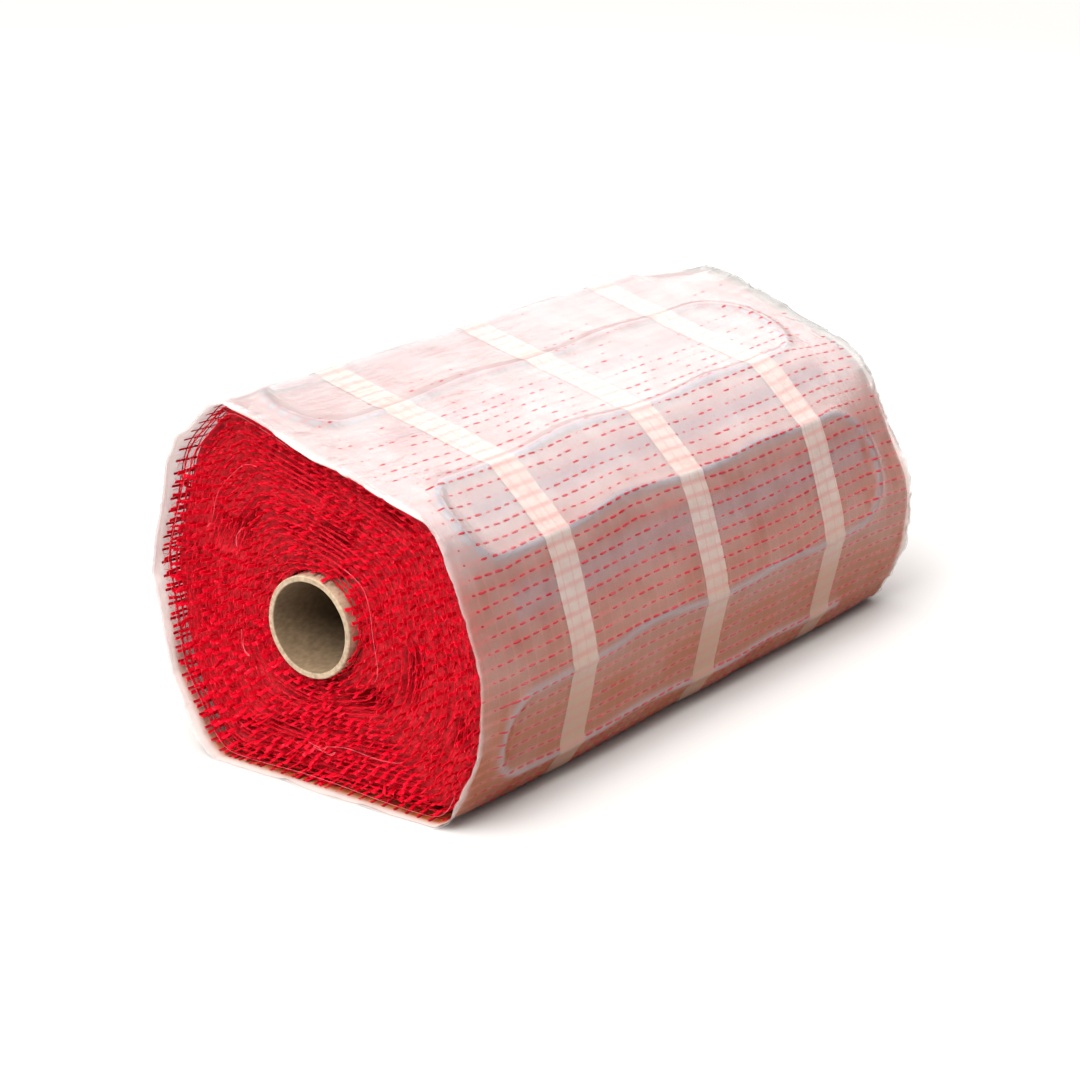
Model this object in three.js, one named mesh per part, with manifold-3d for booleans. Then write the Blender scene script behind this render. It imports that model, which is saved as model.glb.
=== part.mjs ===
// Underfloor heating mat, rolled up on a cardboard core and wrapped in clear film.
// Millimetres. X runs along the roll from its near end to its far end, and Z is up.
// The origin is on the floor, in the middle of the roll's footprint.

import * as THREE from "three";
import { mergeVertices } from "three/addons/utils/BufferGeometryUtils.js";
import Module from "manifold-3d";

// Mat, core and film along the roll
const MAT_WIDTH = 500;
const CORE_LENGTH = MAT_WIDTH;
const FILM_OVERHANG = 8;

// Cardboard core
const CORE_RADIUS = 32.3;
const CORE_WALL = 3.8;
const CORE_HEIGHT = 103.1;

// Corners of the squashed roll's section at its near end, along its middle and at its far end, in order
// up its front, over its top and down its back: y from the core's axis, z from the floor, and the radius
// of the bend. The middle is sharper, because the cable's runs lie under its corners.
const NEAR_CORNERS = [
  [-106, 0, 22],
  [-131, 50, 60],
  [-134, 100, 80],
  [-102, 186, 28],
  [62, 238, 18],
  [103, 200, 45],
  [124, 125, 60],
  [112, 52, 60],
  [82, 0, 26],
];
const MIDDLE_CORNERS = [
  [-106, 0, 16],
  [-119, 20, 22],
  [-131, 86, 45],
  [-110, 154, 22],
  [-71, 192, 20],
  [77, 231, 22],
  [103, 196, 40],
  [125, 118, 45],
  [112, 48, 50],
  [82, 0, 26],
];
const FAR_CORNERS = [
  [-106, 0, 22],
  [-128, 45, 60],
  [-133, 92, 60],
  [-84, 186, 45],
  [50, 230, 50],
  [100, 198, 45],
  [124, 125, 60],
  [112, 52, 60],
  [82, 0, 26],
];

// Layers, from the outside in
const FILM_THICKNESS = 0.6;
const TAPE_THICKNESS = 0.4;
const CLEARANCE = 0.4;

// Tape strips, and how far in from the mat's edges its section stays that of the middle
const TAPE_WIDTH = 25;
const TAPE_EDGE = 104;
const SQUARE_EDGE = 85;

// Heating cable on the outermost turn, whose bends are narrower at the near end
const CABLE_RADIUS = 2;
const NEAR_BEND_WIDTH = 58;
const FAR_BEND_WIDTH = 84;
const CABLE_START = 116;
const CABLE_EDGE_NEAR = 24;
const CABLE_EDGE_FAR = 36;
const CABLE_COVER = 0.5;
const GROOVE_CLEARANCE = 0.8;

// Turns of the mat, as ridges on both ends of the roll
const TURNS_SHOWN = 12;
const TURN_RELIEF = 4;

// Facets
const AROUND = 60;
const CORE_SIDES = 40;
const CABLE_SIDES = 8;
const BEND_STEPS = 6;
const END_ROWS = 4;

const FULL_TURN = 2 * Math.PI;
const FILM_LENGTH = MAT_WIDTH + 2 * FILM_OVERHANG;
const TAPE_DEPTH = FILM_THICKNESS + CLEARANCE;
const MAT_DEPTH = TAPE_DEPTH + TAPE_THICKNESS + CLEARANCE;
const TAPE_SPACING = MAT_WIDTH / 2 - TAPE_EDGE;
const TAPE_PLACES = { near: -TAPE_SPACING, middle: 0, far: TAPE_SPACING };
const CORE_AXIS = new THREE.Vector2(0, CORE_HEIGHT);

const wasm = await Module();
wasm.setup();

// One end's outline as a path with rounded corners, from the middle of its flat underside round.
function sectionPath(corners) {
  const places = corners.map(([y, z]) => new THREE.Vector2(y, z));
  const start = places[0].clone().lerp(places.at(-1), 0.5);
  const path = new THREE.Path();
  path.moveTo(start.x, start.y);
  places.forEach((corner, index) => {
    const radius = corners[index][2];
    const before = places.at(index - 1).clone().sub(corner).normalize();
    const after = places[(index + 1) % places.length].clone().sub(corner).normalize();
    const half = Math.acos(before.dot(after)) / 2;
    const middle = before.clone().add(after).normalize();
    const centre = corner.clone().addScaledVector(middle, radius / Math.sin(half));
    const entry = corner.clone().addScaledVector(before, radius / Math.tan(half));
    const exit = corner.clone().addScaledVector(after, radius / Math.tan(half));
    const from = entry.clone().sub(centre).angle();
    const to = exit.clone().sub(centre).angle();
    path.lineTo(entry.x, entry.y);
    path.absarc(centre.x, centre.y, radius, from, to, true);
  });
  path.lineTo(start.x, start.y);
  return path;
}

const NEAR_SECTION = sectionPath(NEAR_CORNERS);
const MIDDLE_SECTION = sectionPath(MIDDLE_CORNERS);
const FAR_SECTION = sectionPath(FAR_CORNERS);
const GIRTH = MIDDLE_SECTION.getLength();
const ROUND_RADIUS = GIRTH / FULL_TURN;
const MIDDLE_HALF = MAT_WIDTH / 2 - SQUARE_EDGE;
const MAT_END = MAT_WIDTH / 2 - TURN_RELIEF;
const CABLE_RUNS = 1 + 2 * Math.floor(GIRTH / (NEAR_BEND_WIDTH + FAR_BEND_WIDTH));
const MAT_RADIUS = ROUND_RADIUS - MAT_DEPTH;

// Point of the roll's skin at a share of its girth and a place along it, as (y, z).
function skinPoint(share, x) {
  const turn = share - Math.floor(share);
  const past = (Math.abs(x) - MIDDLE_HALF) / (FILM_LENGTH / 2 - MIDDLE_HALF);
  const end = x < 0 ? NEAR_SECTION : FAR_SECTION;
  return MIDDLE_SECTION.getPoint(turn).lerp(end.getPoint(turn), Math.max(past, 0));
}

// Direction out of the skin, square to it within the section.
function skinNormal(share, x) {
  const step = 0.0005;
  const tangent = skinPoint(share + step, x).sub(skinPoint(share - step, x)).normalize();
  return new THREE.Vector2(-tangent.y, tangent.x);
}

// Where a point of the round roll lies once the roll is squashed. Its outer layers keep their depth
// below the skin, and the turns inside go over evenly from that shape to the round core.
function squashedPoint(share, radius, x) {
  const depth = Math.min(ROUND_RADIUS - radius, MAT_DEPTH);
  const surface = skinPoint(share, x).addScaledVector(skinNormal(share, x), -depth);
  if (radius < MAT_RADIUS) {
    const spoke = surface.clone().sub(CORE_AXIS);
    const part = (radius - CORE_RADIUS) / (MAT_RADIUS - CORE_RADIUS);
    spoke.setLength(CORE_RADIUS + (spoke.length() - CORE_RADIUS) * part);
    surface.copy(CORE_AXIS).add(spoke);
  }
  return new THREE.Vector3(x, surface.x, surface.y);
}

function weld(geometry) {
  geometry.deleteAttribute("normal");
  geometry.deleteAttribute("uv");
  return mergeVertices(geometry);
}

// A ring turned round the roll's axis from a closed profile of [radius, x] corners, then squashed.
function squashedRing(profile) {
  const corners = [...profile, profile[0]].map(([radius, x]) => new THREE.Vector2(radius, x));
  const geometry = weld(new THREE.LatheGeometry(corners.reverse(), AROUND));
  const position = geometry.attributes.position;
  for (let i = 0; i < position.count; i += 1) {
    const share = Math.atan2(position.getX(i), position.getZ(i)) / FULL_TURN;
    const radius = Math.hypot(position.getX(i), position.getZ(i));
    const point = squashedPoint(share, radius, position.getY(i));
    position.setXYZ(i, point.x, point.y, point.z);
  }
  return geometry;
}

// Places along the roll where its layers have a row of points, in order from the near end.
function stations(halfLength) {
  const rows = [];
  for (let row = 0; row <= END_ROWS; row += 1) {
    rows.push(MIDDLE_HALF + ((MAT_END - MIDDLE_HALF) * row) / END_ROWS);
  }
  const side = halfLength > MAT_END ? [...rows, halfLength] : rows;
  return [...side.map((x) => -x).reverse(), ...side];
}

// Profile of a sleeve between two radii.
function sleeveProfile(inner, outer, places) {
  const outside = places.map((x) => [outer, x]);
  const inside = places.map((x) => [inner, x]).reverse();
  return [...outside, ...inside];
}

// Ridges of the turns on one end of the roll, from its outer edge in to its bore.
function turnRidges(bore, end, side) {
  const pitch = (MAT_RADIUS - bore) / TURNS_SHOWN;
  const ridges = [];
  for (let turn = 0; turn < TURNS_SHOWN; turn += 1) {
    const outer = MAT_RADIUS - turn * pitch;
    ridges.push([outer - pitch / 2, end * side]);
    if (turn < TURNS_SHOWN - 1) {
      ridges.push([outer - pitch, (end - TURN_RELIEF) * side]);
    }
  }
  return ridges;
}

// The route of the cable, straight from station to station.
class Route extends THREE.Curve {
  constructor(points) {
    super();
    this.points = points;
  }

  getPoint(t, target = new THREE.Vector3()) {
    const place = Math.min(Math.max(t, 0), 1) * (this.points.length - 1);
    const index = Math.min(Math.floor(place), this.points.length - 2);
    return target.lerpVectors(this.points[index], this.points[index + 1], place - index);
  }

  getPointAt(t, target) {
    return this.getPoint(t, target);
  }

  getTangentAt(t, target) {
    return this.getTangent(t, target);
  }
}

// To and fro along the roll from its far end, with a round bend between one run and the next.
function cableRoute(depth) {
  const nearCentre = -MAT_WIDTH / 2 + CABLE_EDGE_NEAR + NEAR_BEND_WIDTH / 2;
  const farCentre = MAT_WIDTH / 2 - CABLE_EDGE_FAR - FAR_BEND_WIDTH / 2;
  const points = [[farCentre, CABLE_START]];
  let place = CABLE_START;
  for (let run = 1; run < CABLE_RUNS; run += 1) {
    const near = run % 2 === 1;
    const bend = (near ? NEAR_BEND_WIDTH : FAR_BEND_WIDTH) / 2;
    const centre = near ? nearCentre : farCentre;
    const middle = near ? [MIDDLE_HALF, -MIDDLE_HALF] : [-MIDDLE_HALF, MIDDLE_HALF];
    points.push(...middle.map((x) => [x, place]));
    for (let step = 0; step <= BEND_STEPS; step += 1) {
      const angle = (Math.PI * step) / BEND_STEPS;
      const reach = bend * Math.sin(angle) * (near ? -1 : 1);
      points.push([centre + reach, place + bend - bend * Math.cos(angle)]);
    }
    place += 2 * bend;
  }
  points.push([MIDDLE_HALF, place], [-MIDDLE_HALF, place], [nearCentre, place]);
  return points.map(([x, around]) => surfacePoint(x, around, depth));
}

// A point at a place along the roll and a distance round it, at a depth below the skin.
function surfacePoint(x, around, depth) {
  const share = around / GIRTH;
  const point = skinPoint(share, x).addScaledVector(skinNormal(share, x), -depth);
  return new THREE.Vector3(x, point.x, point.y);
}

function tubeAlong(points, radius, sides) {
  const section = new THREE.Shape();
  for (let side = 0; side < sides; side += 1) {
    const angle = (FULL_TURN * side) / sides;
    const place = [radius * Math.cos(angle), radius * Math.sin(angle)];
    if (side === 0) {
      section.moveTo(...place);
    } else {
      section.lineTo(...place);
    }
  }
  const settings = { extrudePath: new Route(points), steps: points.length - 1 };
  return weld(new THREE.ExtrudeGeometry(section, settings));
}

function toManifold(geometry) {
  const mesh = new wasm.Mesh({
    numProp: 3,
    vertProperties: new Float32Array(geometry.attributes.position.array),
    triVerts: new Uint32Array(geometry.index.array),
  });
  return new wasm.Manifold(mesh);
}

function toGeometry(solid) {
  const { vertProperties, triVerts } = solid.getMesh();
  const geometry = new THREE.BufferGeometry();
  geometry.setAttribute("position", new THREE.BufferAttribute(vertProperties, 3));
  geometry.setIndex(new THREE.BufferAttribute(triVerts, 1));
  return geometry;
}

function piece(name, geometry, colour, roughness) {
  const material = new THREE.MeshStandardMaterial({ color: colour, roughness, metalness: 0 });
  geometry.computeVertexNormals();
  const mesh = new THREE.Mesh(geometry, material);
  mesh.name = name;
  return mesh;
}

function cardboardCore() {
  const half = CORE_LENGTH / 2;
  const profile = [
    [CORE_RADIUS, -half],
    [CORE_RADIUS, half],
    [CORE_RADIUS - CORE_WALL, half],
    [CORE_RADIUS - CORE_WALL, -half],
    [CORE_RADIUS, -half],
  ].map(([radius, x]) => new THREE.Vector2(radius, x));
  const geometry = weld(new THREE.LatheGeometry(profile, CORE_SIDES));
  geometry.rotateZ(-Math.PI / 2);
  geometry.translate(0, 0, CORE_HEIGHT);
  return piece("cardboard_core", geometry, "#b09a7c", 0.85);
}

const CABLE_DEPTH = MAT_DEPTH + CABLE_COVER + CABLE_RADIUS;

// The wound mesh as one turned solid, with its bore, its ridged ends and the cable's groove.
function meshRoll() {
  const bore = CORE_RADIUS + CLEARANCE;
  const end = MAT_WIDTH / 2;
  const outside = stations(MAT_END).map((x) => [MAT_RADIUS, x]);
  const farRidges = turnRidges(bore, end, 1);
  const nearRidges = turnRidges(bore, end, -1).reverse();
  const inside = [
    [bore, MAT_END],
    [bore, -MAT_END],
  ];
  const profile = [...outside, ...farRidges, ...inside, ...nearRidges];
  const groove = tubeAlong(cableRoute(CABLE_DEPTH), CABLE_RADIUS + GROOVE_CLEARANCE, CABLE_SIDES);
  const roll = toManifold(squashedRing(profile)).subtract(toManifold(groove));
  return piece("mesh_roll", toGeometry(roll), "#c8102e", 0.7);
}

function heatingCable() {
  const geometry = tubeAlong(cableRoute(CABLE_DEPTH), CABLE_RADIUS, CABLE_SIDES);
  return piece("heating_cable", geometry, "#8792a6", 0.45);
}

function tapeStrip(name, x) {
  const outer = ROUND_RADIUS - TAPE_DEPTH;
  const edges = [x - TAPE_WIDTH / 2, x + TAPE_WIDTH / 2];
  const geometry = squashedRing(sleeveProfile(outer - TAPE_THICKNESS, outer, edges));
  return piece(`tape_strip_${name}`, geometry, "#f1eeea", 0.5);
}

function filmWrap() {
  const places = stations(FILM_LENGTH / 2);
  const inner = ROUND_RADIUS - FILM_THICKNESS;
  const geometry = squashedRing(sleeveProfile(inner, ROUND_RADIUS, places));
  return piece("film_wrap", geometry, "#ded5d3", 0.35);
}

const film = filmWrap();
film.geometry.computeBoundingBox();
const footprint = film.geometry.boundingBox.getCenter(new THREE.Vector3());

const mat = new THREE.Group();
mat.add(cardboardCore());
mat.add(meshRoll());
mat.add(heatingCable());
for (const [name, x] of Object.entries(TAPE_PLACES)) {
  mat.add(tapeStrip(name, x));
}
mat.add(film);
mat.position.y = -footprint.y;

const part = new THREE.Group();
part.add(mat);

export default part;
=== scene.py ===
"""Underfloor heating mat, rolled up on its cardboard core and wrapped in frosted film."""

import bpy
import numpy as np
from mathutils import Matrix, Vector


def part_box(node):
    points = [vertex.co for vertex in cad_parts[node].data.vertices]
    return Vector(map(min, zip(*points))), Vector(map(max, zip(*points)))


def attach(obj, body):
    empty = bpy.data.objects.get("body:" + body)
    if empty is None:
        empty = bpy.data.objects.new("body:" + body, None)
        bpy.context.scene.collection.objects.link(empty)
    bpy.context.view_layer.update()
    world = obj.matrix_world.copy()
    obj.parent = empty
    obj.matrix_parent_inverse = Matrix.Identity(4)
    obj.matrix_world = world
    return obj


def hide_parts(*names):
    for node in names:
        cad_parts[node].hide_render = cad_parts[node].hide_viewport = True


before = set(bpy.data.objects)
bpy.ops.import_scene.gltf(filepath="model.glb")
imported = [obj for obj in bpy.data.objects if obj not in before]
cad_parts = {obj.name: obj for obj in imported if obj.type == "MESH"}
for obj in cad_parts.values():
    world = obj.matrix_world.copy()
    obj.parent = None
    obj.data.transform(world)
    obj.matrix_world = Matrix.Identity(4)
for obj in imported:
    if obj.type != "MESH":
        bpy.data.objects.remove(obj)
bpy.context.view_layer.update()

MM = 0.001
RNG = np.random.default_rng(7)


def node_span(node):
    low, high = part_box(node)
    return np.array(low), np.array(high)


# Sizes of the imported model, in metres
CORE_LOW, CORE_HIGH = node_span("cardboard_core")
AXIS = (CORE_LOW[1:] + CORE_HIGH[1:]) / 2
CORE_RADIUS = (CORE_HIGH[2] - CORE_LOW[2]) / 2
CORE_WALL = 3.8 * MM
CORE_SIDES = 96
CORE_EDGE = 0.6 * MM
MESH_END = node_span("mesh_roll")[1][0]
FILM_END = node_span("film_wrap")[1][0]

# Corners of the squashed roll's section at its ends, at its tape strips and half way between them,
# close to those of the solids: y from the core's axis, z from the floor and the radius of the bend, in
# millimetres
NEAR_CORNERS = (
    (-106, 0, 22),
    (-131, 50, 60),
    (-134, 100, 80),
    (-102, 186, 28),
    (62, 238, 18),
    (103, 200, 45),
    (124, 125, 60),
    (112, 52, 60),
    (82, 0, 26),
)
MIDDLE_CORNERS = (
    (-106, 0, 14),
    (-119, 20, 14),
    (-132, 82, 60),
    (-112, 155, 55),
    (-71, 194, 34),
    (77, 231, 14),
    (103, 196, 40),
    (125, 118, 45),
    (112, 48, 50),
    (82, 0, 26),
)
BETWEEN_TAPES_CORNERS = (
    (-106, 0, 14),
    (-119, 21, 14),
    (-131, 87, 60),
    (-107, 161, 40),
    (-66, 196, 30),
    (77, 231, 14),
    (103, 196, 40),
    (125, 118, 45),
    (112, 48, 50),
    (82, 0, 26),
)
FAR_CORNERS = (
    (-106, 0, 22),
    (-128, 45, 60),
    (-133, 92, 60),
    (-86, 182, 48),
    (46, 234, 46),
    (100, 198, 45),
    (124, 125, 60),
    (112, 52, 60),
    (82, 0, 26),
)
SECTION_POINTS = 4096
BEND_POINTS = 25
MIDDLE_HALF = MESH_END - 85 * MM

# How far the mat slides round its section, the slack of its turns and the gap between them and the core
SLIDE = 3.2 * MM
TURN_SLACK = 1.3 * MM
CORE_GAP = 0.8 * MM

# Mesh: the pitch of its threads, and the ribbons that cross it and stick out at its edges
PITCH = 10 * MM
ROW_PITCH = 8.8 * MM
TURNS = 20
RIBBON_WIDTH = 2.2 * MM
WEFT_WIDTH = 1.7 * MM
RIBBON_THICK = 0.5 * MM
TAB_LENGTH = 7 * MM
TAB_GAP_LIMIT = 0.12
THREAD_BLUR = (0.78, 0.22, 0.2)
END_DEPTH = {-1: 11 * MM, 1: 10 * MM}
WARP_RADIUS = 0.42 * MM

# Noises laid over the roll: the size of their cells, in metres, and their seeds
NOISES = {
    "slide": (0.11, 15),
    "slow_wobble": (0.06, 11),
    "quick_wobble": (0.025, 12),
    "turn_slack": (0.05, 31),
    "weft_drift": (0.05, 5),
    "weft_waver": (0.019, 6),
    "warp_drift": (0.06, 41),
    "contact": (0.06, 21),
    "contact_detail": (0.02, 22),
    "end_warp": (0.04, 51),
    "tape_edge": (0.05, 61),
    "overhang": (0.035, 71),
    "overhang_detail": (0.012, 73),
    "flutter": (0.03, 81),
    "flutter_detail": (0.011, 82),
    "creases": (0.014, 83),
    "folds": (0.012, 84),
    "folds_detail": (0.006, 85),
    "hollows": (0.045, 91),
    "packing": (0.016, 93),
}

# Depths of the layers below the film
TAPE_DEPTH = 0.45 * MM
HAZE_DEPTH = 1.0 * MM
MESH_DEPTH = 1.5 * MM
ROLL_DEPTH = 1.8 * MM
CABLE_DEPTH = 3.9 * MM
FILLER_DEPTH = 5.6 * MM

# Cable on the outermost turn, and runs of the turns below that show dimly
CABLE_RADIUS = 2 * MM
INNER_RUNS = (0.232, 0.225, 0.29, 0.372, 0.445, 0.54)
INNER_RUN_END = 0.2
NEAR_BEND_WIDTH = 58 * MM
FAR_BEND_WIDTH = 84 * MM
CABLE_START = 116 * MM
CABLE_SWAY = 4.5 * MM
CABLE_EDGE_NEAR = 24 * MM
CABLE_EDGE_FAR = 36 * MM
ROUTE_STEPS = 60
ROUTE_BEND_STEPS = 22
CREST_HEIGHT = 1.5 * MM
CREST_WIDTH = 4 * MM
END_CREST_HEIGHT = 1.3 * MM
END_CREST_WIDTH = 9 * MM

# The photograph's camera, from the core's axis above the floor, and its heading and dip
CAMERA_PLACE = (-1.3537, -1.0001, 0.6545)
CAMERA_FORWARD = (0.7591, 0.5685, -0.3171)
CAMERA_LENS = 87.94

# Studio
FLOOR_HALF = 9.0
SUN_STRENGTH = 5.6
SUN_ANGLE = 1.2
SUN_DIRECTION = (0.4, -0.1, -1)
SURROUND_LIGHT = 0.3
SURROUND_SEEN = 1.0


def section(corners):
    """Even points round a polygon with rounded corners, from the middle of its underside; its girth."""
    places = np.array([corner[:2] for corner in corners], float) * MM
    start = (places[0] + places[-1]) / 2
    points = [start]
    for index, corner in enumerate(places):
        radius = corners[index][2] * MM
        before = places[index - 1] - corner
        after = places[(index + 1) % len(places)] - corner
        before /= np.linalg.norm(before)
        after /= np.linalg.norm(after)
        half = np.arccos(before @ after) / 2
        middle = (before + after) / np.linalg.norm(before + after)
        centre = corner + middle * radius / np.sin(half)
        first = corner + before * radius / np.tan(half) - centre
        sweep = np.linspace(0, -(np.pi - 2 * half), BEND_POINTS)
        turn = np.arctan2(first[1], first[0]) + sweep
        points.extend(centre + radius * np.stack([np.cos(turn), np.sin(turn)], -1))
    points = np.array(points + [start])
    length = np.concatenate([[0], np.cumsum(np.linalg.norm(np.diff(points, axis=0), axis=1))])
    even = np.linspace(0, length[-1], SECTION_POINTS + 1)
    spaced = np.stack([np.interp(even, length, points[:, axis]) for axis in (0, 1)], -1)
    return spaced + [AXIS[0], 0], length[-1]


NEAR_SECTION = section(NEAR_CORNERS)[0]
MIDDLE_SECTION, GIRTH = section(MIDDLE_CORNERS)
BETWEEN_SECTION = section(BETWEEN_TAPES_CORNERS)[0]
FAR_SECTION = section(FAR_CORNERS)[0]
WEFT_ROWS = int(GIRTH / ROW_PITCH)


def look_up(table, share):
    """Points of a section at shares of its girth."""
    place = np.mod(share, 1) * SECTION_POINTS
    index = np.minimum(place.astype(int), SECTION_POINTS - 1)
    part = (place - index)[..., None]
    return table[index] * (1 - part) + table[index + 1] * part


def end_blend(x):
    """0 along the roll's middle, rising to 1 at its ends."""
    past = np.clip((np.abs(x) - MIDDLE_HALF) / (FILM_END - MIDDLE_HALF), 0, 1)
    return past * past * (1.5 - 0.5 * past)


def between_tapes(x):
    """1 half way between two tape strips, falling to 0 at them."""
    return np.exp(-(((x + 70 * MM) / (40 * MM)) ** 2)) + np.exp(-(((x - 82 * MM) / (40 * MM)) ** 2))


def value_noise(share, x, name, variant=0):
    """Smooth random heights from -1 to 1 that close up round the roll."""
    cell, seed = NOISES[name]
    around = max(3, int(round(GIRTH / cell)))
    along = int(2 * FILM_END / cell) + 4
    lattice = np.random.default_rng(seed + variant).uniform(-1, 1, (around, along))
    u = np.mod(share, 1) * around
    v = np.clip((x + FILM_END) / cell + 1, 0, along - 1.001)
    iu, iv = u.astype(int), v.astype(int)
    fu, fv = u - iu, v - iv
    fu, fv = fu * fu * (3 - 2 * fu), fv * fv * (3 - 2 * fv)
    iu %= around
    ju = (iu + 1) % around
    near = lattice[iu, iv] * (1 - fu) + lattice[ju, iv] * fu
    far = lattice[iu, iv + 1] * (1 - fu) + lattice[ju, iv + 1] * fu
    return near * (1 - fv) + far * fv


def base_skin(share, x):
    """Smooth outer surface of the roll, as (y, z)."""
    share, x = np.broadcast_arrays(share, x)
    share = share + SLIDE / GIRTH * value_noise(share, x, "slide")
    blend = end_blend(x)[..., None]
    end = np.where((x < 0)[..., None], look_up(NEAR_SECTION, share), look_up(FAR_SECTION, share))
    between = between_tapes(x)[..., None]
    middle = look_up(MIDDLE_SECTION, share) * (1 - between) + look_up(BETWEEN_SECTION, share) * between
    return middle * (1 - blend) + end * blend


def skin_normal(share, x):
    """Outward direction of the smooth outer surface, as (y, z)."""
    step = 0.0007
    tangent = base_skin(share + step, x) - base_skin(share - step, x)
    tangent /= np.linalg.norm(tangent, axis=-1, keepdims=True)
    return np.stack([-tangent[..., 1], tangent[..., 0]], -1)


def cable_runs():
    """Places of the cable's runs round the roll, and of the middles of its bends along it."""
    near_centre = -MESH_END + CABLE_EDGE_NEAR + NEAR_BEND_WIDTH / 2
    far_centre = MESH_END - CABLE_EDGE_FAR - FAR_BEND_WIDTH / 2
    count = 1 + 2 * int(GIRTH // (NEAR_BEND_WIDTH + FAR_BEND_WIDTH))
    runs = [CABLE_START]
    for run in range(1, count):
        runs.append(runs[-1] + (NEAR_BEND_WIDTH if run % 2 else FAR_BEND_WIDTH))
    return runs, near_centre, far_centre


def cable_distance(share, x):
    """How far a place on the roll is from the middle of the cable."""
    share, x = np.broadcast_arrays(share, x)
    runs, near_centre, far_centre = cable_runs()
    place = np.mod(share, 1) * GIRTH
    nearest = np.full(place.shape, 1.0)

    def off(middle):
        return np.mod(place - middle + GIRTH / 2, GIRTH) - GIRTH / 2

    past = np.maximum(np.maximum(near_centre - x, x - far_centre), 0)
    for run in runs:
        nearest = np.minimum(nearest, np.hypot(off(run + CABLE_SWAY * between_tapes(x)), past))
    for index in range(1, len(runs)):
        near = index % 2 == 1
        bend = (runs[index] - runs[index - 1]) / 2
        along = near_centre - x if near else x - far_centre
        ring = np.abs(np.hypot(off(runs[index] - bend), along) - bend)
        nearest = np.where(along > 0, np.minimum(nearest, ring), nearest)
    return nearest


def crest(share, x):
    """Rise of the mat and the film over the cable."""
    distance = cable_distance(share, x)
    fine = CREST_HEIGHT * np.exp(-((distance / CREST_WIDTH) ** 2))
    broad = END_CREST_HEIGHT * np.exp(-((distance / END_CREST_WIDTH) ** 2))
    return fine + broad * np.clip(end_blend(x) * 3, 0, 1)


def wobble(share, x):
    """Slow unevenness of the wound roll."""
    slow = 0.7 * MM * value_noise(share, x, "slow_wobble")
    return slow + 0.35 * MM * value_noise(share, x, "quick_wobble")


def layer(share, x, depth, lift=0.0):
    """Points at a depth below the film, as (x, y, z), none of them below the floor."""
    share, x, depth = np.broadcast_arrays(share, x, depth)
    out = crest(share, x) + wobble(share, x) - depth + lift
    flat = base_skin(share, x) + skin_normal(share, x) * out[..., None]
    flat[..., 1] = np.maximum(flat[..., 1], depth)
    return np.concatenate([x[..., None], flat], -1)


def spiral_point(turn, x, rise=0.0, share=None):
    """A point of the wound mesh, counted in turns from the core, raised along the radius."""
    share = np.mod(turn, 1) if share is None else share
    turn, x, rise, share = np.broadcast_arrays(turn, x, rise, share)
    outer = base_skin(share, x) - skin_normal(share, x) * ROLL_DEPTH
    spoke = outer - AXIS
    reach = np.linalg.norm(spoke, axis=-1)
    inner = CORE_RADIUS + CORE_GAP
    slack = TURN_SLACK * value_noise(share + 0.37 * np.floor(turn), turn * 0.02, "turn_slack")
    middle = np.sin(np.pi * np.clip(turn / TURNS, 0, 1))
    radius = inner + (reach - inner) * turn / TURNS + slack * middle + rise
    flat = AXIS + spoke / reach[..., None] * radius[..., None]
    return np.concatenate([x[..., None], flat], -1)


def grid_quads(rows, columns, wrap_rows=False, wrap_columns=False):
    """Faces of a grid of points, row by row."""
    row = np.arange(rows if wrap_rows else rows - 1)
    column = np.arange(columns if wrap_columns else columns - 1)
    r, c = np.meshgrid(row, column, indexing="ij")
    r2, c2 = (r + 1) % rows, (c + 1) % columns
    quads = [r * columns + c, r * columns + c2, r2 * columns + c2, r2 * columns + c]
    return np.stack(quads, -1).reshape(-1, 4)


def strand_quads(strands, steps, sides):
    """Faces of many tubes, each of steps rings with the same number of sides."""
    one = grid_quads(steps, sides, wrap_columns=True)[:, ::-1]
    offsets = np.arange(strands)[:, None, None] * steps * sides
    return (one[None] + offsets).reshape(-1, 4)


def ribbon_quads(strands, steps, width):
    """Faces of many flat ribbons, each of steps rows with the same number of points."""
    one = grid_quads(steps, width)[:, ::-1]
    offsets = np.arange(strands)[:, None, None] * steps * width
    return (one[None] + offsets).reshape(-1, 4)


def add_piece(name, points, quads, material, node=None, smooth=True):
    mesh = bpy.data.meshes.new(name)
    points = np.array(points).reshape(-1, 3)
    points[:, 2] = np.maximum(points[:, 2], 0.05 * MM)
    mesh.from_pydata(points.tolist(), [], np.asarray(quads).tolist())
    mesh.polygons.foreach_set("use_smooth", [smooth] * len(mesh.polygons))
    mesh.materials.append(material)
    piece = bpy.data.objects.new(name, mesh)
    bpy.context.scene.collection.objects.link(piece)
    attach(piece, "root")
    if node:
        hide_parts(node)
    return piece


def tube(points, radius, sides):
    """Rings of a tube round a line of points."""
    ahead = np.gradient(points, axis=0)
    ahead /= np.linalg.norm(ahead, axis=1, keepdims=True)
    outward = points - np.concatenate([points[:, :1], np.broadcast_to(AXIS, (len(points), 2))], 1)
    side = np.cross(ahead, outward)
    side /= np.linalg.norm(side, axis=1, keepdims=True)
    up = np.cross(side, ahead)
    angle = np.arange(sides) * 2 * np.pi / sides
    ring = np.cos(angle)[None, :, None] * side[:, None] + np.sin(angle)[None, :, None] * up[:, None]
    return points[:, None] + radius * ring


# Materials
def new_material(name, colour, roughness):
    material = bpy.data.materials.new(name)
    material.use_nodes = True
    shader = material.node_tree.nodes["Principled BSDF"]
    shader.inputs["Base Color"].default_value = (*colour, 1)
    shader.inputs["Roughness"].default_value = roughness
    return material, shader


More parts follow.
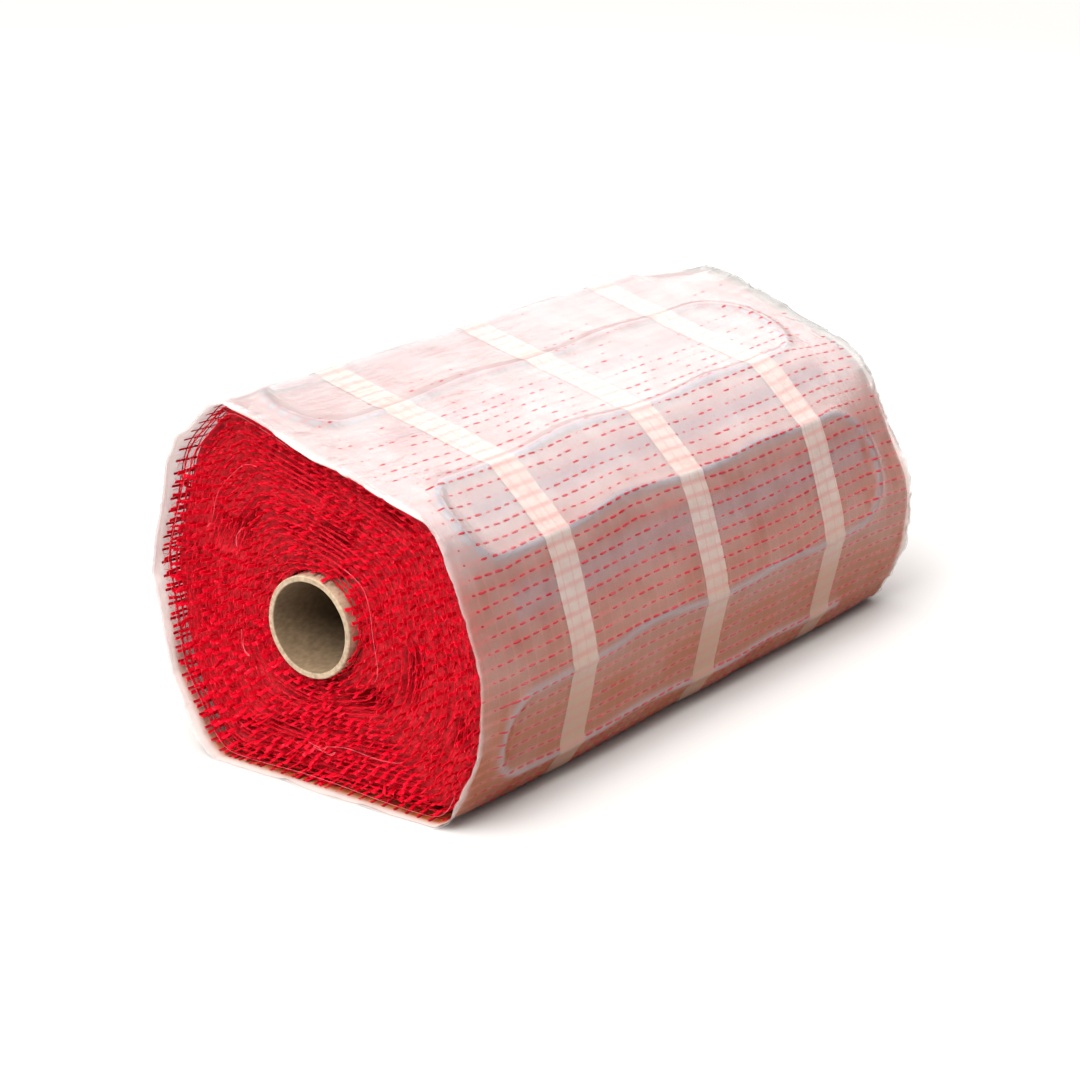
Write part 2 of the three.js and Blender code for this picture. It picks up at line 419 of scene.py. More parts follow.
def texture_noise(material, scale, stretch=(1, 1, 1), detail=3.0):
    """A noise texture in object space, in waves a metre."""
    nodes, links = material.node_tree.nodes, material.node_tree.links
    coordinates = nodes.new("ShaderNodeTexCoord")
    mapping = nodes.new("ShaderNodeMapping")
    mapping.inputs["Scale"].default_value = stretch
    noise = nodes.new("ShaderNodeTexNoise")
    noise.inputs["Scale"].default_value = scale
    noise.inputs["Detail"].default_value = detail
    links.new(coordinates.outputs["Object"], mapping.inputs["Vector"])
    links.new(mapping.outputs["Vector"], noise.inputs["Vector"])
    return noise.outputs["Fac"]


def spread(material, source, low, high, stops=(0.3, 0.7)):
    """Two colours or greys laid over a noise."""
    ramp = material.node_tree.nodes.new("ShaderNodeValToRGB")
    for element, place, colour in zip(ramp.color_ramp.elements, stops, (low, high)):
        element.position = place
        element.color = (*colour, 1) if len(colour) == 3 else colour
    material.node_tree.links.new(source, ramp.inputs["Fac"])
    return ramp.outputs["Color"]


def grey(value):
    return (value, value, value)


def add_bump(material, shader, source, strength, distance):
    bump = material.node_tree.nodes.new("ShaderNodeBump")
    bump.inputs["Strength"].default_value = strength
    bump.inputs["Distance"].default_value = distance
    material.node_tree.links.new(source, bump.inputs["Height"])
    material.node_tree.links.new(bump.outputs["Normal"], shader.inputs["Normal"])


def red_yarn(name="red_mesh", deep=(0.5, 0.0, 0.008), bright=(0.85, 0.006, 0.03)):
    material, shader = new_material(name, (0.7, 0.004, 0.02), 0.42)
    tone = spread(material, texture_noise(material, 260), deep, bright)
    # Paler specks over the yarn: partly frayed pale fibres, partly a painted highlight of the shiny
    # yarn.
    frayed = spread(material, texture_noise(material, 520, detail=1), grey(0), grey(1), (0.66, 0.78))
    pale = mix(material, frayed, tone, tuple(min(1.3 * value + 0.06, 0.95) for value in bright))
    material.node_tree.links.new(pale, shader.inputs["Base Color"])
    fibres = texture_noise(material, 900, stretch=(0.12, 1, 1), detail=2)
    add_bump(material, shader, fibres, 0.7, 0.4 * MM)
    shader.inputs["Specular IOR Level"].default_value = 0.12
    return material


def filler_red():
    material, shader = new_material("inner_turns", (0.5, 0.002, 0.01), 0.8)
    tone = texture_noise(material, 420, detail=4)
    tone = spread(material, tone, (0.3, 0.0, 0.004), (0.75, 0.003, 0.02))
    material.node_tree.links.new(tone, shader.inputs["Base Color"])
    add_bump(material, shader, texture_noise(material, 350), 0.35, 1 * MM)
    return material


def loose_yarn():
    material, shader = new_material("loose_yarn", (0.9, 0.12, 0.15), 0.35)
    tone = spread(material, texture_noise(material, 150), (0.85, 0.03, 0.07), (0.95, 0.25, 0.28))
    material.node_tree.links.new(tone, shader.inputs["Base Color"])
    return material


def cardboard():
    material, shader = new_material("cardboard", (0.32, 0.23, 0.15), 0.85)
    flecks = texture_noise(material, 420, stretch=(0.5, 1, 1), detail=6)
    tone = spread(material, flecks, (0.28, 0.2, 0.125), (0.48, 0.37, 0.25))
    # Darker tone in the bore: painted shade inside the tube.
    bore = spread(material, flecks, (0.14, 0.09, 0.045), (0.22, 0.145, 0.08))
    both = mix(material, read_value(material, "bore_shade"), tone, bore)
    material.node_tree.links.new(both, shader.inputs["Base Color"])
    add_bump(material, shader, texture_noise(material, 900, detail=4), 0.35, 0.3 * MM)
    return material


def cable_sheath():
    material, shader = new_material("cable_sheath", (0.2, 0.27, 0.38), 0.3)
    tone = spread(material, texture_noise(material, 90), (0.17, 0.23, 0.34), (0.26, 0.33, 0.45))
    material.node_tree.links.new(tone, shader.inputs["Base Color"])
    return material


def tape_white():
    material, shader = new_material("tape", (0.78, 0.65, 0.57), 0.5)
    tone = spread(material, texture_noise(material, 120), (0.74, 0.6, 0.52), (0.82, 0.71, 0.64))
    # Darker and browner low down: painted shade near the floor.
    shaded = mix(material, read_value(material, "low_shade"), tone, (0.58, 0.37, 0.23))
    grid = thread_colours(material, shaded, 0.35, 0.3)
    material.node_tree.links.new(grid, shader.inputs["Base Color"])
    shader.inputs["Alpha"].default_value = 0.55
    return material


def shade_values(piece, name, values):
    """Store one value a point of a piece, for its material."""
    layer_values = piece.data.attributes.new(name, "FLOAT", "POINT")
    layer_values.data.foreach_set("value", np.asarray(values, np.float32).ravel())


def read_value(material, name):
    source = material.node_tree.nodes.new("ShaderNodeAttribute")
    source.attribute_name = name
    return source.outputs["Fac"]


def mix(material, part, low, high):
    """Blend of two colours or values by a factor."""
    blend = material.node_tree.nodes.new("ShaderNodeMix")
    blend.data_type = "RGBA"
    links = material.node_tree.links
    links.new(part, blend.inputs["Factor"])
    for name, value in (("A", low), ("B", high)):
        socket = next(s for s in blend.inputs if s.name == name and s.type == "RGBA")
        if isinstance(value, tuple):
            socket.default_value = (*value, 1)
        else:
            links.new(value, socket)
    return next(s for s in blend.outputs if s.type == "RGBA")


def thread_glow(material, name, pitch, reach, strength):
    """How strongly threads at whole numbers of a value show through the milk."""
    nodes, links = material.node_tree.nodes, material.node_tree.links
    away = nodes.new("ShaderNodeMath")
    away.operation = "PINGPONG"
    links.new(read_value(material, name), away.inputs[0])
    away.inputs[1].default_value = 0.5
    glow = nodes.new("ShaderNodeMapRange")
    glow.interpolation_type = "SMOOTHSTEP"
    links.new(away.outputs["Value"], glow.inputs["Value"])
    glow.inputs["From Min"].default_value = reach / pitch
    glow.inputs["From Max"].default_value = 0.15 * reach / pitch
    glow.inputs["To Max"].default_value = strength
    return glow.outputs["Result"]


def thread_colours(material, ground, weft_strength, warp_strength):
    """The mesh's threads as a pink blur over a ground colour."""
    weft = thread_glow(material, "row", ROW_PITCH, 2.6 * MM, weft_strength)
    warp = thread_glow(material, "warp", PITCH, 1.0 * MM, warp_strength)
    with_weft = mix(material, weft, ground, THREAD_BLUR)
    return mix(material, warp, with_weft, THREAD_BLUR)


def film_skin():
    """Outer face of the film: nearly clear and glossy, milkier where it stands clear of the mesh; its
    gloss weaker low down, and painted darker grey as shade at the top of its far edge.
    """
    material, shader = new_material("film", (0.86, 0.8, 0.77), 0.6)
    nodes, links = material.node_tree.nodes, material.node_tree.links
    cloud = spread(material, texture_noise(material, 45), grey(0.0), grey(0.07))
    milky = mix(material, read_value(material, "clear_of_mesh"), cloud, grey(0.4))
    links.new(milky, shader.inputs["Alpha"])
    # Darker grey at the top of the far edge: painted shade where the film curls away from the light.
    shaded_edge = mix(material, read_value(material, "far_edge_shade"), (0.86, 0.8, 0.77), (0.42, 0.4, 0.38))
    links.new(shaded_edge, shader.inputs["Base Color"])
    shader.inputs["Specular IOR Level"].default_value = 0.0
    wrinkles = texture_noise(material, 90, stretch=(0.5, 1.6, 1.6), detail=5)
    streaks = texture_noise(material, 110, stretch=(2.6, 0.35, 0.35), detail=3)
    height = nodes.new("ShaderNodeMath")
    links.new(wrinkles, height.inputs[0])
    links.new(streaks, height.inputs[1])
    add_bump(material, shader, height.outputs["Value"], 0.3, 1.2 * MM)
    gloss = nodes.new("ShaderNodeBsdfGlossy")
    gloss.inputs["Roughness"].default_value = 0.22
    links.new(shader.inputs["Normal"].links[0].from_socket, gloss.inputs["Normal"])
    fresnel = nodes.new("ShaderNodeFresnel")
    fresnel.inputs["IOR"].default_value = 1.36
    limit = nodes.new("ShaderNodeMath")
    limit.operation = "MINIMUM"
    links.new(fresnel.outputs["Fac"], limit.inputs[0])
    most = mix(material, read_value(material, "low_shade"), grey(0.22), grey(0.07))
    links.new(most, limit.inputs[1])
    both = nodes.new("ShaderNodeMixShader")
    links.new(limit.outputs["Value"], both.inputs["Fac"])
    links.new(shader.outputs["BSDF"], both.inputs[1])
    links.new(gloss.outputs["BSDF"], both.inputs[2])
    links.new(both.outputs["Shader"], nodes["Material Output"].inputs["Surface"])
    return material


def film_milk():
    """Milky inner face of the film, which the mesh and the cable are dimly seen through; painted pale
    on top as light, and darker and browner down its sides and grey at the top of its far edge as shade.
    """
    material, shader = new_material("film_milk", (0.85, 0.6, 0.57), 0.7)
    patches = texture_noise(material, 28, detail=4)
    # Painted light and shade: a pale top as if washed out by the light, with the threads faint on it,
    # and darker, browner sides that are darkest near the floor.
    lit_top = spread(material, patches, (0.57, 0.49, 0.475), (0.64, 0.6, 0.585))
    shaded_lower = spread(material, patches, (0.41, 0.21, 0.155), (0.47, 0.28, 0.225))
    shaded_warm = mix(material, read_value(material, "low_shade"), shaded_lower, (0.33, 0.085, 0.018))
    top_grid = thread_colours(material, lit_top, 0.1, 0.06)
    side_grid = thread_colours(material, shaded_warm, 0.42, 0.28)
    low_grid = thread_colours(material, shaded_warm, 0.22, 0.08)
    sides = mix(material, read_value(material, "low_shade"), side_grid, low_grid)
    grid = mix(material, read_value(material, "shaded_side"), top_grid, sides)
    cool = mix(material, read_value(material, "over_cable"), grid, (0.36, 0.36, 0.4))
    plain = mix(material, read_value(material, "clear_of_mesh"), cool, (0.74, 0.69, 0.64))
    # Darker grey at the top of the far edge: painted shade where the film curls away; the milk is
    # thicker there too.
    shaded_edge = mix(material, read_value(material, "far_edge_shade"), plain, (0.36, 0.34, 0.32))
    material.node_tree.links.new(shaded_edge, shader.inputs["Base Color"])
    cloud = spread(material, texture_noise(material, 60), grey(0.55), grey(0.66))
    low_cloud = mix(material, read_value(material, "low_shade"), cloud, grey(0.9))
    thin = mix(material, read_value(material, "clear_of_mesh"), low_cloud, grey(0.5))
    thick = mix(material, read_value(material, "far_edge_shade"), thin, grey(0.85))
    material.node_tree.links.new(thick, shader.inputs["Alpha"])
    shader.inputs["Specular IOR Level"].default_value = 0.1
    return material


# Pieces
def low_shade(height):
    """Mask of the painted shade low down, which also weakens the film's gloss and thickens its milk: 1
    near the floor, falling to 0 half way up.
    """
    return np.clip((115 * MM - height) / (60 * MM), 0, 1)


def weft_drift(place, x):
    """How far a yarn along the outermost turn strays round the roll."""
    share = place / GIRTH
    return (0.9 * value_noise(share, x, "weft_drift") + 0.6 * value_noise(share, x, "weft_waver")) * MM


def warp_drift(share, x):
    """How far a thread round the outermost turn strays along the roll."""
    return 0.6 * MM * value_noise(share, x, "warp_drift")


def store_threads(piece, share, x):
    """Number the threads below a piece, with whole numbers on their middles."""
    share, x = np.broadcast_arrays(share, x)
    place = share * GIRTH
    shade_values(piece, "row", (place - weft_drift(place, x)) * WEFT_ROWS / GIRTH - 0.5)
    shade_values(piece, "warp", (x - warp_drift(share, x) + MESH_END - TAB_LENGTH) / PITCH)


def outer_weft():
    """Yarns along the outermost turn, which touch the film between one warp and the next."""
    rows = WEFT_ROWS
    per_pitch = 5
    steps = int(2 * MESH_END / PITCH) * per_pitch + 1
    x = np.linspace(-MESH_END, MESH_END - 2.5 * MM, steps)[None, :, None]
    row = np.arange(rows)[:, None, None]
    middle = (row + 0.5) * GIRTH / rows
    middle = middle + weft_drift(middle, x)
    across = np.array([-0.5, -0.15, 0.15, 0.5])[None, None, :]
    phase = (x + MESH_END - TAB_LENGTH) / PITCH
    arch = np.abs(np.sin(np.pi * phase)) ** 0.5
    lively = RNG.uniform(-0.5, 0.35, (rows, int(2 * MESH_END / PITCH) + 3))
    lively = lively + RNG.normal(0, 0.12, (rows, 1))
    share = middle / GIRTH
    own = lively[row, np.floor(phase).astype(int) + 1] + 0.4 * np.clip((0.25 - share) / 0.03, 0, 1)
    contact = 0.5 * value_noise(share, x, "contact") + 0.4 * value_noise(share, x, "contact_detail")
    slack = 1.0 * np.exp(-(((share - 0.55) / 0.115) ** 2)) + 0.8 * (x < 12 * MM - MESH_END)
    depth = MESH_DEPTH + (0.85 - 1.95 * arch - (own + 0.35 * contact) * arch + slack) * MM
    depth = np.clip(depth, 0.28 * MM, 1.6 * MM)
    for node in ("tape_strip_near", "tape_strip_middle", "tape_strip_far"):
        low, high = node_span(node)
        below_tape = np.maximum(depth, TAPE_DEPTH + 0.3 * MM)
        depth = np.where((x > low[0]) & (x < high[0]), below_tape, depth)
    buried = np.maximum(depth + 0.2 * MM, HAZE_DEPTH + 0.15 * MM)
    depth = np.where(np.abs(across) > 0.3, buried, depth)
    points = layer(share + across * WEFT_WIDTH / GIRTH, x, depth)
    quads = ribbon_quads(rows, steps, 4)
    return add_piece("outer_weft", points, quads, SHADED_COVERED_RED, "mesh_roll")


def outer_warps():
    """Thin threads round the outermost turn."""
    count = int(2 * MESH_END / PITCH)
    steps = 200
    place = (-MESH_END + TAB_LENGTH + np.arange(count) * PITCH)[:, None]
    share = (np.arange(steps) / (steps - 1))[None, :]
    points = layer(share, place + warp_drift(share, place), HAZE_DEPTH + 0.55 * MM)
    rings = np.stack([tube(line, WARP_RADIUS, 3) for line in points])
    return add_piece("outer_warps", rings, strand_quads(count, steps, 3), SHADED_COVERED_RED)


def spiral_length():
    """Turns from the core and the length of mat wound up to each, at many places."""
    turns = np.linspace(0, TURNS, TURNS * 180 + 1)
    points = spiral_point(turns, np.full(turns.shape, -MESH_END))
    steps = np.linalg.norm(np.diff(points, axis=0), axis=1)
    return turns, np.concatenate([[0], np.cumsum(steps)])


def end_tabs(name, side):
    """Ribbon ends that stick out of every turn at one end of the roll."""
    turns, lengths = spiral_length()
    place = (np.arange(int(lengths[-1] / ROW_PITCH)) + 0.5) * ROW_PITCH
    place = place + RNG.uniform(-0.8, 0.8, len(place)) * MM
    turn = np.interp(place, lengths, turns)
    place = place[hollow(turn % 1, turn, side) < TAB_GAP_LIMIT]
    count = len(place)
    turn = np.interp(place, lengths, turns)[:, None, None]
    around = np.interp(place, lengths[1:], np.diff(lengths) / np.diff(turns))[:, None, None]
    inward = np.array([0, 1.2, 3.5, 6, 9, 13, 18, 24])[None, :, None] * MM
    tip = RNG.exponential(0.9, (count, 1, 1)) * MM
    loose = np.clip(1 - inward / (TAB_LENGTH + 2 * MM), 0, 1) ** 1.2
    stray = np.where(RNG.uniform(0, 1, (count, 1, 1)) < 0.12, 3.0, 1.0)
    swing = RNG.normal(0, 0.6, (count, 1, 1)) * stray * MM * loose
    rise = RNG.normal(0, 0.6, (count, 1, 1)) * stray * MM * loose
    rise = rise + 0.6 * MM * np.sin(np.pi * (inward + TAB_LENGTH) / PITCH)
    rise = np.where(turn > TURNS - 1.3, np.minimum(rise, 0), rise)
    corner = np.array([[-1, -1], [1, -1], [1, 1], [-1, 1]]) * 0.5
    width = RIBBON_WIDTH * (0.85 + 0.25 * loose) * RNG.uniform(0.8, 1.15, (count, 1, 1))
    twist = RNG.normal(0, 0.35, (count, 1, 1)) * (0.3 + 0.7 * loose)
    across, through = corner[:, 0] * width, corner[:, 1] * RIBBON_THICK
    shift = (swing + across * np.cos(twist) - through * np.sin(twist)) / around
    height = rise + across * np.sin(twist) + through * np.cos(twist)
    x = side * (MESH_END - tip - inward)
    points = spiral_point(turn + shift, x, height)
    steps = inward.shape[1]
    quads = strand_quads(count, steps, 4)
    caps = np.arange(count)[:, None] * steps * 4 + np.arange(4)
    quads = np.concatenate([quads, caps])
    quads = quads[:, ::-1] if side < 0 else quads
    return add_piece(name, points, quads, RED, smooth=False)


def end_fibres(name, side, each):
    """Fine fibres that fray from the ribbon ends."""
    turns, lengths = spiral_length()
    count = int(lengths[-1] / ROW_PITCH) * each
    place = RNG.uniform(0, lengths[-1], count)
    turn = np.interp(place, lengths, turns)[:, None]
    around = np.interp(place, lengths[1:], np.diff(lengths) / np.diff(turns))[:, None]
    along = np.linspace(0, 1, 4)[None, :]
    root = RNG.uniform(1, 9, (count, 1)) * MM
    reach = RNG.uniform(2, 6, (count, 1)) * MM * along
    lean = RNG.uniform(-0.9, 0.9, (count, 1))
    shift = (RNG.normal(0, 1.2, (count, 1)) * MM + reach * np.sin(lean) * 1.2) / around
    height = RNG.normal(0, 1.0, (count, 1)) * MM + RNG.normal(0, 1.2, (count, 1)) * MM * along**2
    height = np.where(turn > TURNS - 1.3, np.minimum(height, 0), height)
    x = side * (MESH_END - np.maximum(root - reach * np.cos(lean), 0.2 * MM))
    lines = spiral_point(turn + shift, x, height)
    rings = np.stack([tube(line, 0.16 * MM, 3) for line in lines])
    return add_piece(name, rings, strand_quads(count, 4, 3), RED)


def end_warps(name, side):
    """Threads that run round every turn near one end, in crossing pairs at the first warp."""
    turns, lengths = spiral_length()
    spacing = 2.5 * MM
    place = np.arange(0, lengths[-1], spacing)
    turn = np.interp(place, lengths, turns)
    strands = []
    for warp, twist in ((0, 1), (0, -1), (1, 1))[: 3 if side < 0 else 2]:
        wave = np.pi * place / PITCH
        from_end = TAB_LENGTH + warp * PITCH + 0.5 * MM * twist * np.sin(wave)
        from_end = from_end + 1.2 * MM * value_noise(turn / 1.7, turn * 0.02, "end_warp", warp)
        x = side * (MESH_END - from_end)
        line = spiral_point(turn, x, 0.45 * MM * twist * np.cos(wave))
        strands.append(tube(line, WARP_RADIUS, 3))
    quads = strand_quads(len(strands), len(place), 3)
    return add_piece(name, np.stack(strands), quads, RED)


def loose_strands(name, side, count):
    """Fine pale yarns that lie round the ends of the tabs."""
    steps = 90
    first = RNG.uniform(1.5, TURNS - 1, count)[:, None]
    span = RNG.uniform(0.05, 0.22, count)[:, None]
    along = np.linspace(0, 1, steps)[None, :]
    turn = first + span * along + RNG.uniform(-0.25, 0.25, count)[:, None] * along**2
    lift = RNG.uniform(-1.0, 2.0, count)[:, None] * MM * np.sin(np.pi * along)
    x = side * (MESH_END - 1.5 * MM + lift)
    lines = spiral_point(turn, x, 1.5 * MM * np.sin(3 * np.pi * along))
    rings = np.stack([tube(line, 0.13 * MM, 3) for line in lines])
    return add_piece(name, rings, strand_quads(count, steps, 3), PALE_YARN)


def hollow(share, turn, side):
    """Places at an end where the turns gape, from 0 to about 0.6."""
    return np.clip(value_noise(share, turn * 0.012, "hollows", side) - 0.35, 0, 1)


def end_cap(share, side, rings):
    """Packed inner turns a little inside one end, uneven and hollowed in a few places."""
    turn = np.linspace(0.1, TURNS - 1.5, rings)[None, :]
    ridges = 1.2 * MM * np.sin(2 * np.pi * (turn - share))
    uneven = 2.0 * MM * value_noise(share, turn * 0.02, "packing", side)
    depth = END_DEPTH[side] + ridges + uneven + 60 * MM * hollow(share, turn, side)
    return spiral_point(turn, side * (MESH_END - depth), 0.0, share)


def roll_filler():
    """The turns inside, seen only dimly between the threads."""
    around = 300
    share = (np.arange(around) / around)[:, None]
    places = np.linspace(END_DEPTH[-1] - MESH_END + 3 * MM, MESH_END - 3 * MM, 72)
    rising = np.clip((places - MESH_END + 30 * MM) / (20 * MM), 0, 1)[None, :]
    side = layer(share, places[None, :], FILLER_DEPTH - 3.4 * MM * rising)
    points = np.concatenate([end_cap(share, -1, 60), side, end_cap(share, 1, 60)[:, ::-1]], 1)
    quads = grid_quads(around, points.shape[1], wrap_rows=True)
    return add_piece("inner_turns", points, quads, FILLER)


def cable():
    """Cable of the outermost turn, to and fro along the roll."""
    runs, near_centre, far_centre = cable_runs()
    route = []
    straight = np.linspace(near_centre, far_centre, ROUTE_STEPS)
    for index, run in enumerate(runs):
        towards_near = index % 2 == 0
        ordered = straight[::-1] if towards_near else straight
        route.extend((x, run) for x in ordered)
        if index + 1 < len(runs):
            bend = (runs[index + 1] - run) / 2
            centre = near_centre if towards_near else far_centre
            for angle in np.linspace(0, np.pi, ROUTE_BEND_STEPS)[1:-1]:
                reach = bend * np.sin(angle) * (-1 if towards_near else 1)
                route.append((centre + reach, run + bend - bend * np.cos(angle)))
    route = np.array(route)
    route[:, 1] += CABLE_SWAY * between_tapes(route[:, 0])
    line = layer(route[:, 1] / GIRTH, route[:, 0], CABLE_DEPTH)
    rings = tube(line, CABLE_RADIUS, 10)
    quads = strand_quads(1, len(line), 10)
    return add_piece("heating_cable_outer_turn", rings, quads, CABLE, "heating_cable")


def tape(node):
    """Band of one tape strip, close under the film."""
    low, high = node_span(node)
    around = 420
    share = (np.arange(around) / around)[:, None]
    x = np.linspace(low[0], high[0], 9)[None, :]
    ripple = 0.6 * MM * value_noise(share, 0.0, "tape_edge")
    points = layer(share, x + ripple, TAPE_DEPTH)
    quads = grid_quads(around, 9, wrap_rows=True)
    piece = add_piece(f"{node}_band", points, quads, TAPE, node)
    store_threads(piece, share, x + ripple)
    shade_values(piece, "low_shade", low_shade(points[..., 2]))
    return piece


def overhang(share, side):
    """How far the film reaches past the mesh, round its girth."""
    wave = value_noise(share, 0.0, "overhang", side)
    wave = wave + 0.5 * value_noise(share, 0.0, "overhang_detail", side)
    front = np.exp(-(((share - 0.25) / 0.13) ** 2))
    top = np.exp(-(((share - 0.55) / 0.12) ** 2))
    reach = 7.5 - 6 * front if side < 0 else 9 - 2 * front + 2 * top
    return (reach + 1.8 * wave) * MM


def film(name, around, along, depth, material, node=None, inset=0.0):
    """One layer of the film, with its creases and folds, open at both ends."""
    share = (np.arange(around) / around)[:, None]
    part = np.linspace(0, 1, along)[None, :]
    near = -(MESH_END + overhang(share, -1) - inset)
    far = MESH_END + overhang(share, 1) - inset
    x = near + (far - near) * part
    past = np.clip((np.abs(x) - MESH_END + 1 * MM) / (9 * MM), 0, 1)
    flutter = value_noise(share, x, "flutter") + 0.6 * value_noise(share, x, "flutter_detail")
    flutter = flutter * np.where(x > 0, 2.6 * MM, 1.6 * MM) * past
    droop = -8 * MM * np.clip((x - MESH_END - 2 * MM) / (8 * MM), 0, 1.4) ** 1.6
    creases = 0.28 * MM * value_noise(share, x, "creases") * (0.3 + 0.7 * end_blend(x))
    close = np.clip((np.abs(x) - MESH_END + 32 * MM) / (32 * MM), 0, 1)
    folds = value_noise(share, x, "folds") + 0.4 * value_noise(share, x, "folds_detail")
    fold_height = np.where(x > 0, 1.5, 1.1) * MM
    creases = creases + fold_height * close * np.clip(1 - np.abs(folds), 0, 1) ** 6
    points = layer(share, x, depth, flutter + creases + droop)
    piece = add_piece(name, points, grid_quads(around, along, wrap_rows=True), material, node)
    shade_film(piece, share, x, points[..., 2])
    return piece


def shade_film(piece, share, x, height):
    """Store what lies below each point of the film, how high it is, and the masks of its painted shade
    low down, on its sides and at the top of its far edge.
    """
    shade_values(piece, "clear_of_mesh", np.clip((np.abs(x) - MESH_END + 2 * MM) / (6 * MM), 0, 1))
    away = [share * GIRTH - place + GIRTH / 2 for place in INNER_RUNS]
    away = [np.abs(np.mod(distance, GIRTH) - GIRTH / 2) for distance in away]
    deep = np.exp(-((np.min(away, axis=0) / (8 * MM)) ** 2)) * (np.abs(x) < INNER_RUN_END)
    touch = np.exp(-((cable_distance(share, x) / (2.5 * MM)) ** 2))
    # The cable's mark fades on the top: painted light, as if the top were washed out by the lamps.
    top_washout = 1 - 0.6 * np.clip((height - 190 * MM) / (25 * MM), 0, 1)
    shade_values(piece, "over_cable", np.clip((0.65 * touch + 0.45 * deep) * top_washout, 0, 1))
    store_threads(piece, share, x)
    shade_values(piece, "shaded_side", np.clip((175 * MM - height) / (30 * MM), 0, 1))
    shade_values(piece, "low_shade", low_shade(height))
    # Mask for the painted shade at the top of the far edge.
    far_top = np.clip((height - 150 * MM) / (40 * MM), 0, 1)
    shade_values(piece, "far_edge_shade", far_top * np.clip((x - MESH_END + 14 * MM) / (10 * MM), 0, 1))


def core():
    """Cardboard tube with slightly soft edges, painted darker in its bore as shade."""
    sides = CORE_SIDES
    end = CORE_HIGH[0]
    soft = CORE_EDGE
    inner = CORE_RADIUS - CORE_WALL
    profile = np.array(
        [
            (CORE_RADIUS, -end + soft),
            (CORE_RADIUS, end - soft),
            (CORE_RADIUS - soft, end),
            (inner + soft, end),
            (inner, end - soft),
            (inner, -end + soft),
            (inner + soft, -end),
            (CORE_RADIUS - soft, -end),
        ]
    )
    angle = np.arange(sides)[:, None] * 2 * np.pi / sides
    frayed = 0.25 * MM * np.sin(7 * angle) * (np.abs(profile[None, :, 1]) > end - 2 * soft)
    x = np.broadcast_to(profile[None, :, 1], (sides, len(profile))) + frayed * 0.5
    y = AXIS[0] + profile[None, :, 0] * np.cos(angle)
    z = AXIS[1] + profile[None, :, 0] * np.sin(angle)
    points = np.stack([x, y, z], -1)
    quads = grid_quads(sides, len(profile), wrap_rows=True, wrap_columns=True)[:, ::-1]
    piece = add_piece("core_tube", points, quads, CARD, "cardboard_core")
    shade_values(piece, "bore_shade", np.broadcast_to(profile[None, :, 0] < inner + 0.5 * soft, x.shape))
    edges = piece.modifiers.new("edges", "EDGE_SPLIT")
    edges.split_angle = 0.7
    return piece


def add_camera():
    camera = bpy.data.objects.new("camera", bpy.data.cameras.new("camera"))
    camera.data.lens = CAMERA_LENS
    camera.data.sensor_width = 36
    camera.location = Vector(CAMERA_PLACE) + Vector((0, AXIS[0], 0))
    camera.rotation_euler = Vector(CAMERA_FORWARD).to_track_quat("-Z", "Y").to_euler()
    bpy.context.scene.collection.objects.link(camera)
    bpy.context.scene.camera = camera


def add_light(name, place, target, size, power):
    light = bpy.data.lights.new(name, "AREA")
    light.shape = "RECTANGLE"
    light.size, light.size_y = size
    light.energy = power
    lamp = bpy.data.objects.new(name, light)
    lamp.location = place
    lamp.rotation_euler = (Vector(target) - Vector(place)).to_track_quat("-Z", "Y").to_euler()
    bpy.context.scene.collection.objects.link(lamp)


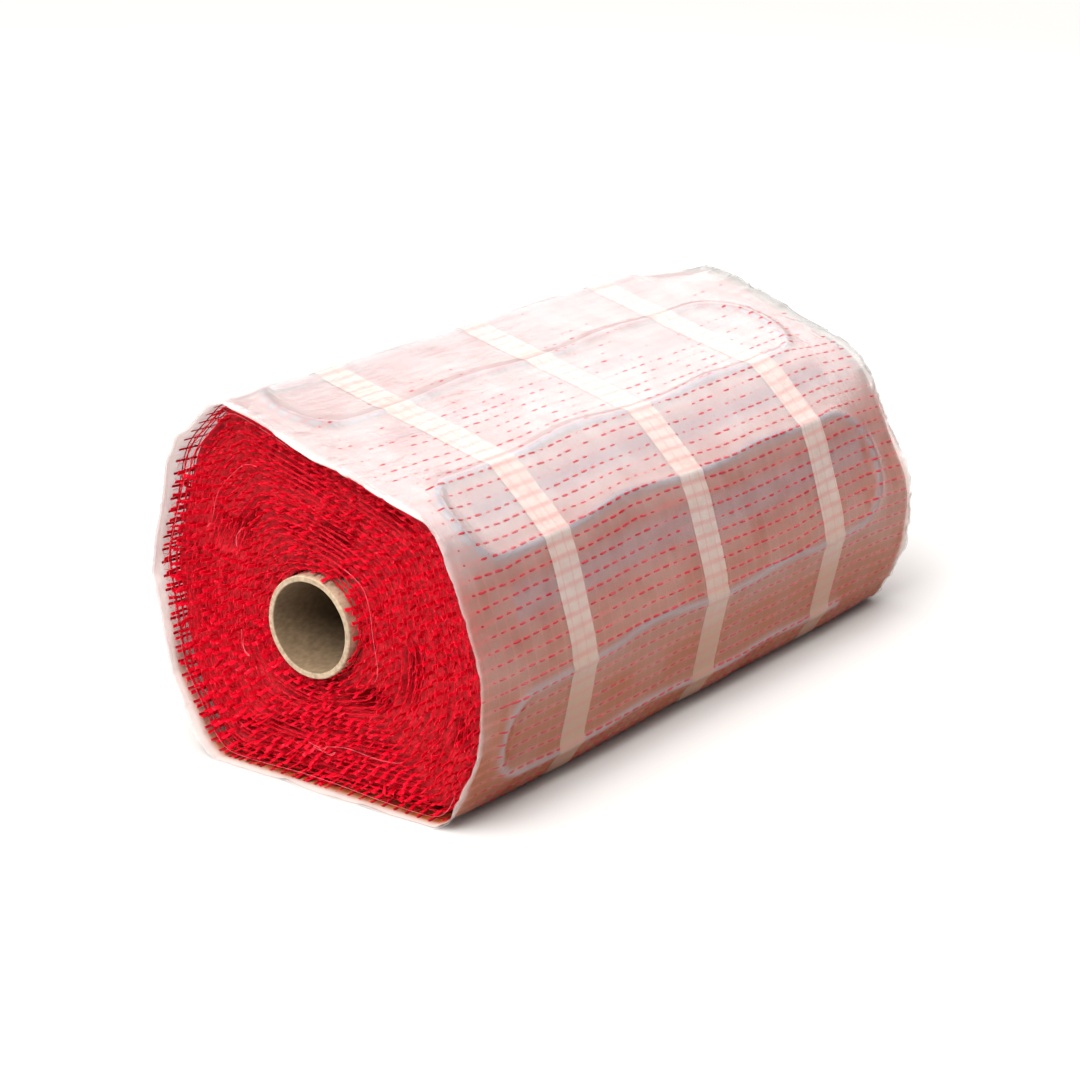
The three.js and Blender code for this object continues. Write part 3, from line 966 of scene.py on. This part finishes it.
def add_studio():
    """Pale floor, soft sun, area lights and an even surround that shows white behind the roll."""
    half = FLOOR_HALF
    mesh = bpy.data.meshes.new("floor")
    corners = [(-half, -half, 0), (half, -half, 0), (half, half, 0), (-half, half, 0)]
    mesh.from_pydata(corners, [], [(0, 1, 2, 3)])
    mesh.materials.append(new_material("floor", (0.52, 0.505, 0.49), 0.9)[0])
    floor = bpy.data.objects.new("floor", mesh)
    bpy.context.scene.collection.objects.link(floor)
    sun = bpy.data.lights.new("key", "SUN")
    sun.energy = SUN_STRENGTH
    sun.angle = SUN_ANGLE
    lamp = bpy.data.objects.new("key", sun)
    lamp.rotation_euler = Vector(SUN_DIRECTION).to_track_quat("-Z", "Y").to_euler()
    bpy.context.scene.collection.objects.link(lamp)
    add_light("softbox", (2.05, 0.0, 1.57), (0, 0, 0.15), (2.6, 1.2), 28)
    add_light("front_fill", (-0.5, -1.8, 1.6), (0, -0.1, 0.12), (2.0, 1.0), 2)
    add_light("face_fill", (-1.6, -0.4, 1.7), (-0.25, 0, 0.1), (1.0, 1.0), 28)
    world = bpy.data.worlds.new("studio")
    world.use_nodes = True
    world.node_tree.nodes["Background"].inputs["Color"].default_value = (1, 1, 1, 1)
    paths = world.node_tree.nodes.new("ShaderNodeLightPath")
    strength = world.node_tree.nodes.new("ShaderNodeMapRange")
    strength.inputs["To Min"].default_value = SURROUND_LIGHT
    strength.inputs["To Max"].default_value = SURROUND_SEEN
    world.node_tree.links.new(paths.outputs["Is Camera Ray"], strength.inputs["Value"])
    background = world.node_tree.nodes["Background"]
    world.node_tree.links.new(strength.outputs["Result"], background.inputs["Strength"])
    bpy.context.scene.world = world
    bpy.context.scene.view_settings.view_transform = "Standard"


RED = red_yarn()
# Darker copy of the red yarn for the mesh under the film: painted shade of the film over it.
SHADED_COVERED_RED = red_yarn("red_mesh_shaded_under_film", (0.3, 0.0, 0.006), (0.52, 0.004, 0.02))
FILLER = filler_red()
PALE_YARN = loose_yarn()
CARD = cardboard()
CABLE = cable_sheath()
TAPE = tape_white()
FILM = film_skin()
MILK = film_milk()

add_camera()
core()
cable()
roll_filler()
outer_weft()
outer_warps()
for end_name, end_side in (("near", -1), ("far", 1)):
    end_tabs(f"{end_name}_weft_tabs", end_side)
    end_warps(f"{end_name}_warps", end_side)
    end_fibres(f"{end_name}_fibres", end_side, 4 if end_side < 0 else 2)
    loose_strands(f"{end_name}_loose_yarn", end_side, 8)
for strip in ("tape_strip_near", "tape_strip_middle", "tape_strip_far"):
    tape(strip)
film("film_outside", 560, 170, 0.0, FILM, "film_wrap")
film("film_inside", 320, 150, HAZE_DEPTH, MILK, inset=1 * MM)
add_studio()
